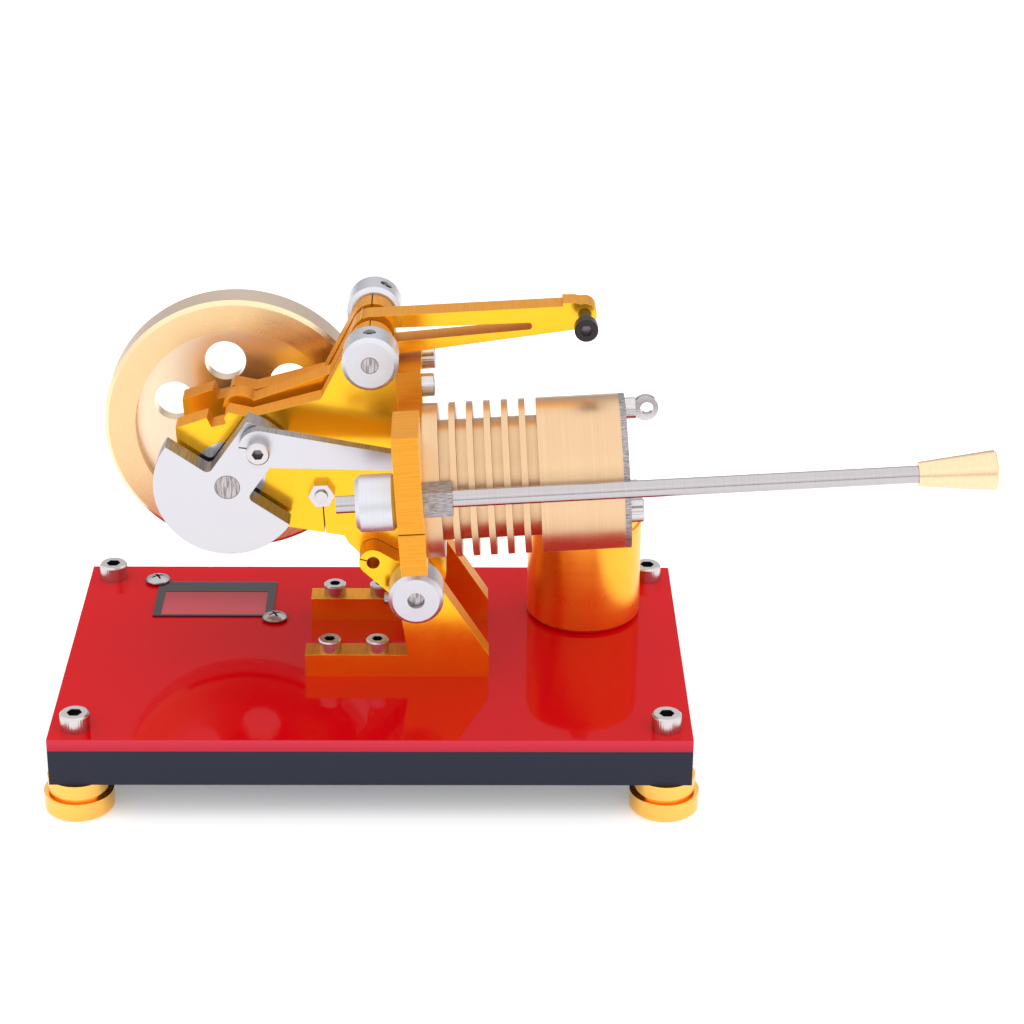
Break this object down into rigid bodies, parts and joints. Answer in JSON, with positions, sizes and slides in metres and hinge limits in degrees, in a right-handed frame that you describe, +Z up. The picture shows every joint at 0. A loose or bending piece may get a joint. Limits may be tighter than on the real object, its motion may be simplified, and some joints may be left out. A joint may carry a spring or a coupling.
{
  "type": "hot-air engine model",
  "caption": "Small tilting flame-heated engine on a two-layer base: finned brass cylinder, crank and flywheel, rocking valve lever, carry rod and spirit lamp.",
  "frame": {"origin": "midway between the four feet, on the plane that they stand on", "axes": "+X along the base's length towards the handle's grip, +Y away from the viewer towards the flywheel, +Z up"},
  "size_m": [0.2182, 0.0944, 0.1121],
  "materials": {
    "black_gloss": "polished",
    "red_gloss": "polished",
    "bright_brass": "polished",
    "turned_brass": "fine turned",
    "gold_anodised": "satin anodised, wire-cut edges",
    "bright_aluminium": "polished",
    "satin_aluminium": "satin, milled edges",
    "stainless": "bright",
    "steel_shaft": "ground",
    "bearing_steel": "polished",
    "cut_steel": "wire-cut, rough edge",
    "piston_iron": "ground",
    "black_steel": "black oxide",
    "wick_cotton": "braided cotton"
  },
  "bodies": {
    "base": {"base_lower": "black_gloss", "base_upper": "red_gloss", "foot_1": "bright_brass", "foot_2": "bright_brass", "foot_3": "bright_brass", "foot_4": "bright_brass", "corner_screw_1": "stainless", "corner_screw_2": "stainless", "corner_screw_3": "stainless", "corner_screw_4": "stainless", "name_border": "black_gloss", "name_panel": "red_gloss", "name_screw_1": "stainless", "name_screw_2": "stainless", "bracket_front": "gold_anodised", "bracket_back": "gold_anodised", "bracket_screw_1": "stainless", "bracket_screw_2": "stainless", "bracket_screw_3": "stainless", "bracket_screw_4": "stainless", "hinge_shaft": "steel_shaft", "hinge_collar_front": "bright_aluminium", "hinge_collar_back": "bright_aluminium", "lamp_cup": "bright_brass", "lamp_lid": "bright_brass", "wick": "wick_cotton"},
    "engine": {"side_plate_front": "gold_anodised", "side_plate_back": "gold_anodised", "flange_plate": "gold_anodised", "flange_screw_front": "stainless", "flange_screw_back": "stainless", "bearing_outer_front": "bearing_steel", "bearing_outer_back": "bearing_steel", "tie_spacer": "bright_aluminium", "tie_bolt": "stainless", "tie_nut": "stainless", "cylinder": "turned_brass", "end_plate": "cut_steel", "end_screw_1": "stainless", "end_screw_2": "stainless", "eye_screw": "stainless", "handle_rod": "steel_shaft", "handle_collar": "bright_aluminium", "handle_block": "cut_steel", "handle_grip": "turned_brass"},
    "crank": {"crankshaft": "steel_shaft", "crank_web": "satin_aluminium", "cam": "bright_aluminium", "flywheel": "turned_brass", "bearing_inner_front": "bearing_steel", "bearing_inner_back": "bearing_steel"},
    "lever": {"valve_lever": "gold_anodised", "lever_shaft": "steel_shaft", "lever_collar_front": "bright_aluminium", "lever_collar_back": "bright_aluminium", "lever_screw": "black_steel"},
    "con_rod": {"con_rod": "satin_aluminium", "crank_pin_screw": "stainless"},
    "piston": {"piston": "piston_iron", "gudgeon_pin": "steel_shaft"}
  },
  "joints": [
    {"name": "engine_tilt", "type": "hinge", "parent": "base", "child": "engine", "pos_m": [0.0103, 0, 0.0464], "axis": [0, -1, 0], "range_deg": [-15, 18]},
    {"name": "crank_spin", "type": "hinge", "parent": "engine", "child": "crank", "pos_m": [-0.03374, 0.00325, 0.07186], "axis": [0, 1, 0], "continuous": true},
    {"name": "piston_slide", "type": "slide", "parent": "engine", "child": "piston", "axis": [0.9981, 0, 0.061], "range_m": [-0.02135, 0.00605]},
    {"name": "rod_swing", "type": "hinge", "parent": "piston", "child": "con_rod", "pos_m": [0.03978, -0.0175, 0.07636], "axis": [0, 1, 0], "range_deg": [-21.33, 2.63]},
    {"name": "lever_rock", "type": "hinge", "parent": "engine", "child": "lever", "pos_m": [-0.00005, 0.00325, 0.10347], "axis": [0, 1, 0], "range_deg": [-2.2, 5]}
  ]
}
